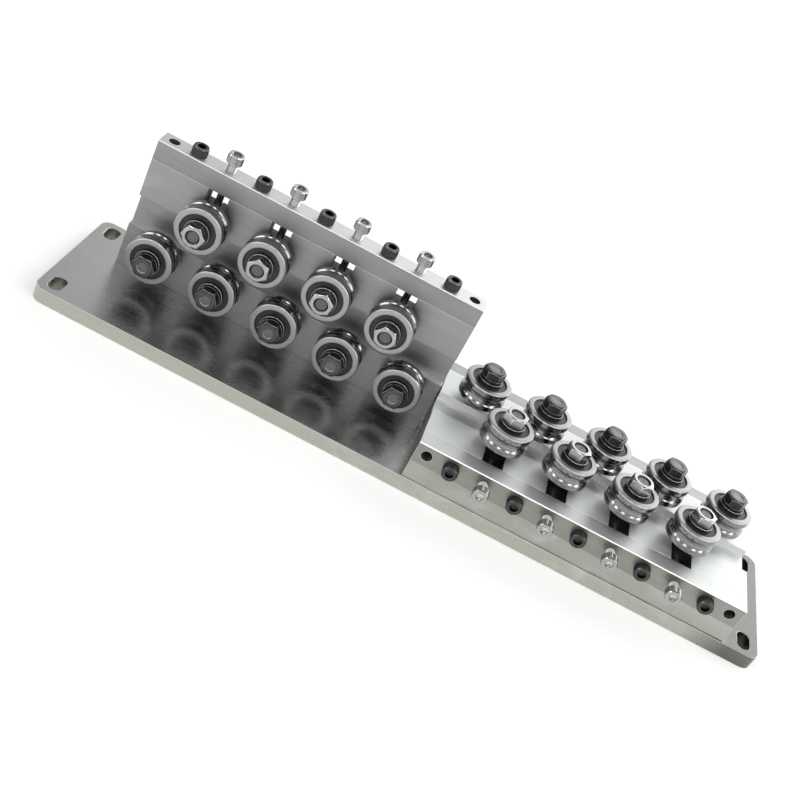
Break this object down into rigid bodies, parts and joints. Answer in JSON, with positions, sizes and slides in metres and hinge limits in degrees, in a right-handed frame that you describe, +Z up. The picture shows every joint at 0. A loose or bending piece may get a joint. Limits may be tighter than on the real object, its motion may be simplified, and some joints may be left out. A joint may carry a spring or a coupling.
{
  "type": "wire straightener",
  "caption": "Bench wire straightener: an upright and a flat unit of grooved rollers on a slotted base, with screw-set rollers that bend a wire straight.",
  "frame": {"origin": "centre of the base plate's underside, straight below the middle of the wire's path", "axes": "+X along the wire, from the upright unit to the flat unit; +Y from the flat unit's adjusting screws to the rear rail; +Z up"},
  "size_m": [0.48, 0.1108, 0.1103],
  "materials": {
    "ground_steel": "ground and lightly polished, with blurred reflections",
    "roller_steel": "fine-ground bearing steel",
    "zinc_plate": "bright zinc plate on nuts, washers and adjusting screws",
    "black_oxide": "satin black oxide on bolts, washers and socket-head screws",
    "seal_rubber": "matte black seal rubber"
  },
  "bodies": {
    "frame": {"base_plate": "ground_steel", "riser_plate": "ground_steel", "rear_rail": "ground_steel", "upright_roller_plate": "ground_steel", "flat_roller_plate": "ground_steel", "upright_adjusting_bar": "ground_steel", "flat_adjusting_bar": "ground_steel", "bar_screws": "black_oxide", "fixed_axle_bolts": "black_oxide", "fixed_axle_washers": "black_oxide", "fixed_axle_lock_washers": "black_oxide", "fixed_axle_spacers": "zinc_plate", "fixed_inner_rings": "roller_steel", "short_foot_screws": "black_oxide", "long_foot_screws": "black_oxide"},
    "upright_fixed_roller_1": {"upright_fixed_roller_1": "roller_steel"},
    "upright_fixed_roller_2": {"upright_fixed_roller_2": "roller_steel"},
    "upright_fixed_roller_3": {"upright_fixed_roller_3": "roller_steel"},
    "upright_fixed_roller_4": {"upright_fixed_roller_4": "roller_steel"},
    "upright_fixed_roller_5": {"upright_fixed_roller_5": "roller_steel"},
    "upright_block_1": {"upright_sliding_block_1": "ground_steel", "upright_stud_and_nut_1": "zinc_plate"},
    "upright_adjust_roller_1": {"upright_adjust_roller_1": "roller_steel"},
    "upright_adjusting_screw_1": {"upright_adjusting_screw_1": "zinc_plate"},
    "upright_block_2": {"upright_sliding_block_2": "ground_steel", "upright_stud_and_nut_2": "zinc_plate"},
    "upright_adjust_roller_2": {"upright_adjust_roller_2": "roller_steel"},
    "upright_adjusting_screw_2": {"upright_adjusting_screw_2": "zinc_plate"},
    "upright_block_3": {"upright_sliding_block_3": "ground_steel", "upright_stud_and_nut_3": "zinc_plate"},
    "upright_adjust_roller_3": {"upright_adjust_roller_3": "roller_steel"},
    "upright_adjusting_screw_3": {"upright_adjusting_screw_3": "zinc_plate"},
    "upright_block_4": {"upright_sliding_block_4": "ground_steel", "upright_stud_and_nut_4": "zinc_plate"},
    "upright_adjust_roller_4": {"upright_adjust_roller_4": "roller_steel"},
    "upright_adjusting_screw_4": {"upright_adjusting_screw_4": "zinc_plate"},
    "flat_fixed_roller_1": {"flat_fixed_roller_1": "roller_steel"},
    "flat_fixed_roller_2": {"flat_fixed_roller_2": "roller_steel"},
    "flat_fixed_roller_3": {"flat_fixed_roller_3": "roller_steel"},
    "flat_fixed_roller_4": {"flat_fixed_roller_4": "roller_steel"},
    "flat_fixed_roller_5": {"flat_fixed_roller_5": "roller_steel"},
    "flat_block_1": {"flat_sliding_block_1": "ground_steel", "flat_stud_and_nut_1": "zinc_plate"},
    "flat_adjust_roller_1": {"flat_adjust_roller_1": "roller_steel"},
    "flat_adjusting_screw_1": {"flat_adjusting_screw_1": "zinc_plate"},
    "flat_block_2": {"flat_sliding_block_2": "ground_steel", "flat_stud_and_nut_2": "zinc_plate"},
    "flat_adjust_roller_2": {"flat_adjust_roller_2": "roller_steel"},
    "flat_adjusting_screw_2": {"flat_adjusting_screw_2": "zinc_plate"},
    "flat_block_3": {"flat_sliding_block_3": "ground_steel", "flat_stud_and_nut_3": "zinc_plate"},
    "flat_adjust_roller_3": {"flat_adjust_roller_3": "roller_steel"},
    "flat_adjusting_screw_3": {"flat_adjusting_screw_3": "zinc_plate"},
    "flat_block_4": {"flat_sliding_block_4": "ground_steel", "flat_stud_and_nut_4": "zinc_plate"},
    "flat_adjust_roller_4": {"flat_adjust_roller_4": "roller_steel"},
    "flat_adjusting_screw_4": {"flat_adjusting_screw_4": "zinc_plate"}
  },
  "joints": [
    {"name": "upright_fixed_roller_1_spin", "type": "hinge", "parent": "frame", "child": "upright_fixed_roller_1", "pos_m": [-0.192, 0, 0.0324], "axis": [0, -1, 0], "continuous": true},
    {"name": "upright_fixed_roller_2_spin", "type": "hinge", "parent": "frame", "child": "upright_fixed_roller_2", "pos_m": [-0.15, 0, 0.0324], "axis": [0, -1, 0], "continuous": true},
    {"name": "upright_fixed_roller_3_spin", "type": "hinge", "parent": "frame", "child": "upright_fixed_roller_3", "pos_m": [-0.108, 0, 0.0324], "axis": [0, -1, 0], "continuous": true},
    {"name": "upright_fixed_roller_4_spin", "type": "hinge", "parent": "frame", "child": "upright_fixed_roller_4", "pos_m": [-0.066, 0, 0.0324], "axis": [0, -1, 0], "continuous": true},
    {"name": "upright_fixed_roller_5_spin", "type": "hinge", "parent": "frame", "child": "upright_fixed_roller_5", "pos_m": [-0.024, 0, 0.0324], "axis": [0, -1, 0], "continuous": true},
    {"name": "upright_block_1_slide", "type": "slide", "parent": "frame", "child": "upright_block_1", "axis": [0, 0, 1], "range_m": [-0.005, 0.004]},
    {"name": "upright_adjust_roller_1_spin", "type": "hinge", "parent": "upright_block_1", "child": "upright_adjust_roller_1", "pos_m": [-0.171, 0, 0.0666], "axis": [0, -1, 0], "continuous": true},
    {"name": "upright_adjusting_screw_1_turn", "type": "hinge", "parent": "upright_block_1", "child": "upright_adjusting_screw_1", "pos_m": [-0.171, 0.01975, 0.0666], "axis": [0, 0, 1], "range_deg": [-1800, 1440]},
    {"name": "upright_block_2_slide", "type": "slide", "parent": "frame", "child": "upright_block_2", "axis": [0, 0, 1], "range_m": [-0.005, 0.004]},
    {"name": "upright_adjust_roller_2_spin", "type": "hinge", "parent": "upright_block_2", "child": "upright_adjust_roller_2", "pos_m": [-0.129, 0, 0.0666], "axis": [0, -1, 0], "continuous": true},
    {"name": "upright_adjusting_screw_2_turn", "type": "hinge", "parent": "upright_block_2", "child": "upright_adjusting_screw_2", "pos_m": [-0.129, 0.01975, 0.0666], "axis": [0, 0, 1], "range_deg": [-1800, 1440]},
    {"name": "upright_block_3_slide", "type": "slide", "parent": "frame", "child": "upright_block_3", "axis": [0, 0, 1], "range_m": [-0.005, 0.004]},
    {"name": "upright_adjust_roller_3_spin", "type": "hinge", "parent": "upright_block_3", "child": "upright_adjust_roller_3", "pos_m": [-0.087, 0, 0.0666], "axis": [0, -1, 0], "continuous": true},
    {"name": "upright_adjusting_screw_3_turn", "type": "hinge", "parent": "upright_block_3", "child": "upright_adjusting_screw_3", "pos_m": [-0.087, 0.01975, 0.0666], "axis": [0, 0, 1], "range_deg": [-1800, 1440]},
    {"name": "upright_block_4_slide", "type": "slide", "parent": "frame", "child": "upright_block_4", "axis": [0, 0, 1], "range_m": [-0.005, 0.004]},
    {"name": "upright_adjust_roller_4_spin", "type": "hinge", "parent": "upright_block_4", "child": "upright_adjust_roller_4", "pos_m": [-0.045, 0, 0.0666], "axis": [0, -1, 0], "continuous": true},
    {"name": "upright_adjusting_screw_4_turn", "type": "hinge", "parent": "upright_block_4", "child": "upright_adjusting_screw_4", "pos_m": [-0.045, 0.01975, 0.0666], "axis": [0, 0, 1], "range_deg": [-1800, 1440]},
    {"name": "flat_fixed_roller_1_spin", "type": "hinge", "parent": "frame", "child": "flat_fixed_roller_1", "pos_m": [0.024, 0.0171, 0.0495], "axis": [0, 0, 1], "continuous": true},
    {"name": "flat_fixed_roller_2_spin", "type": "hinge", "parent": "frame", "child": "flat_fixed_roller_2", "pos_m": [0.066, 0.0171, 0.0495], "axis": [0, 0, 1], "continuous": true},
    {"name": "flat_fixed_roller_3_spin", "type": "hinge", "parent": "frame", "child": "flat_fixed_roller_3", "pos_m": [0.108, 0.0171, 0.0495], "axis": [0, 0, 1], "continuous": true},
    {"name": "flat_fixed_roller_4_spin", "type": "hinge", "parent": "frame", "child": "flat_fixed_roller_4", "pos_m": [0.15, 0.0171, 0.0495], "axis": [0, 0, 1], "continuous": true},
    {"name": "flat_fixed_roller_5_spin", "type": "hinge", "parent": "frame", "child": "flat_fixed_roller_5", "pos_m": [0.192, 0.0171, 0.0495], "axis": [0, 0, 1], "continuous": true},
    {"name": "flat_block_1_slide", "type": "slide", "parent": "frame", "child": "flat_block_1", "axis": [0, -1, 0], "range_m": [-0.005, 0.004]},
    {"name": "flat_adjust_roller_1_spin", "type": "hinge", "parent": "flat_block_1", "child": "flat_adjust_roller_1", "pos_m": [0.045, -0.0171, 0.0495], "axis": [0, 0, 1], "continuous": true},
    {"name": "flat_adjusting_screw_1_turn", "type": "hinge", "parent": "flat_block_1", "child": "flat_adjusting_screw_1", "pos_m": [0.045, -0.0171, 0.02975], "axis": [0, -1, 0], "range_deg": [-1800, 1440]},
    {"name": "flat_block_2_slide", "type": "slide", "parent": "frame", "child": "flat_block_2", "axis": [0, -1, 0], "range_m": [-0.005, 0.004]},
    {"name": "flat_adjust_roller_2_spin", "type": "hinge", "parent": "flat_block_2", "child": "flat_adjust_roller_2", "pos_m": [0.087, -0.0171, 0.0495], "axis": [0, 0, 1], "continuous": true},
    {"name": "flat_adjusting_screw_2_turn", "type": "hinge", "parent": "flat_block_2", "child": "flat_adjusting_screw_2", "pos_m": [0.087, -0.0171, 0.02975], "axis": [0, -1, 0], "range_deg": [-1800, 1440]},
    {"name": "flat_block_3_slide", "type": "slide", "parent": "frame", "child": "flat_block_3", "axis": [0, -1, 0], "range_m": [-0.005, 0.004]},
    {"name": "flat_adjust_roller_3_spin", "type": "hinge", "parent": "flat_block_3", "child": "flat_adjust_roller_3", "pos_m": [0.129, -0.0171, 0.0495], "axis": [0, 0, 1], "continuous": true},
    {"name": "flat_adjusting_screw_3_turn", "type": "hinge", "parent": "flat_block_3", "child": "flat_adjusting_screw_3", "pos_m": [0.129, -0.0171, 0.02975], "axis": [0, -1, 0], "range_deg": [-1800, 1440]},
    {"name": "flat_block_4_slide", "type": "slide", "parent": "frame", "child": "flat_block_4", "axis": [0, -1, 0], "range_m": [-0.005, 0.004]},
    {"name": "flat_adjust_roller_4_spin", "type": "hinge", "parent": "flat_block_4", "child": "flat_adjust_roller_4", "pos_m": [0.171, -0.0171, 0.0495], "axis": [0, 0, 1], "continuous": true},
    {"name": "flat_adjusting_screw_4_turn", "type": "hinge", "parent": "flat_block_4", "child": "flat_adjusting_screw_4", "pos_m": [0.171, -0.0171, 0.02975], "axis": [0, -1, 0], "range_deg": [-1800, 1440]}
  ],
  "couplings": [
    {"joint": "upright_adjusting_screw_1_turn", "follows": "upright_block_1_slide", "rad_per_m": 6283.2},
    {"joint": "upright_adjusting_screw_2_turn", "follows": "upright_block_2_slide", "rad_per_m": 6283.2},
    {"joint": "upright_adjusting_screw_3_turn", "follows": "upright_block_3_slide", "rad_per_m": 6283.2},
    {"joint": "upright_adjusting_screw_4_turn", "follows": "upright_block_4_slide", "rad_per_m": 6283.2},
    {"joint": "flat_adjusting_screw_1_turn", "follows": "flat_block_1_slide", "rad_per_m": 6283.2},
    {"joint": "flat_adjusting_screw_2_turn", "follows": "flat_block_2_slide", "rad_per_m": 6283.2},
    {"joint": "flat_adjusting_screw_3_turn", "follows": "flat_block_3_slide", "rad_per_m": 6283.2},
    {"joint": "flat_adjusting_screw_4_turn", "follows": "flat_block_4_slide", "rad_per_m": 6283.2}
  ]
}
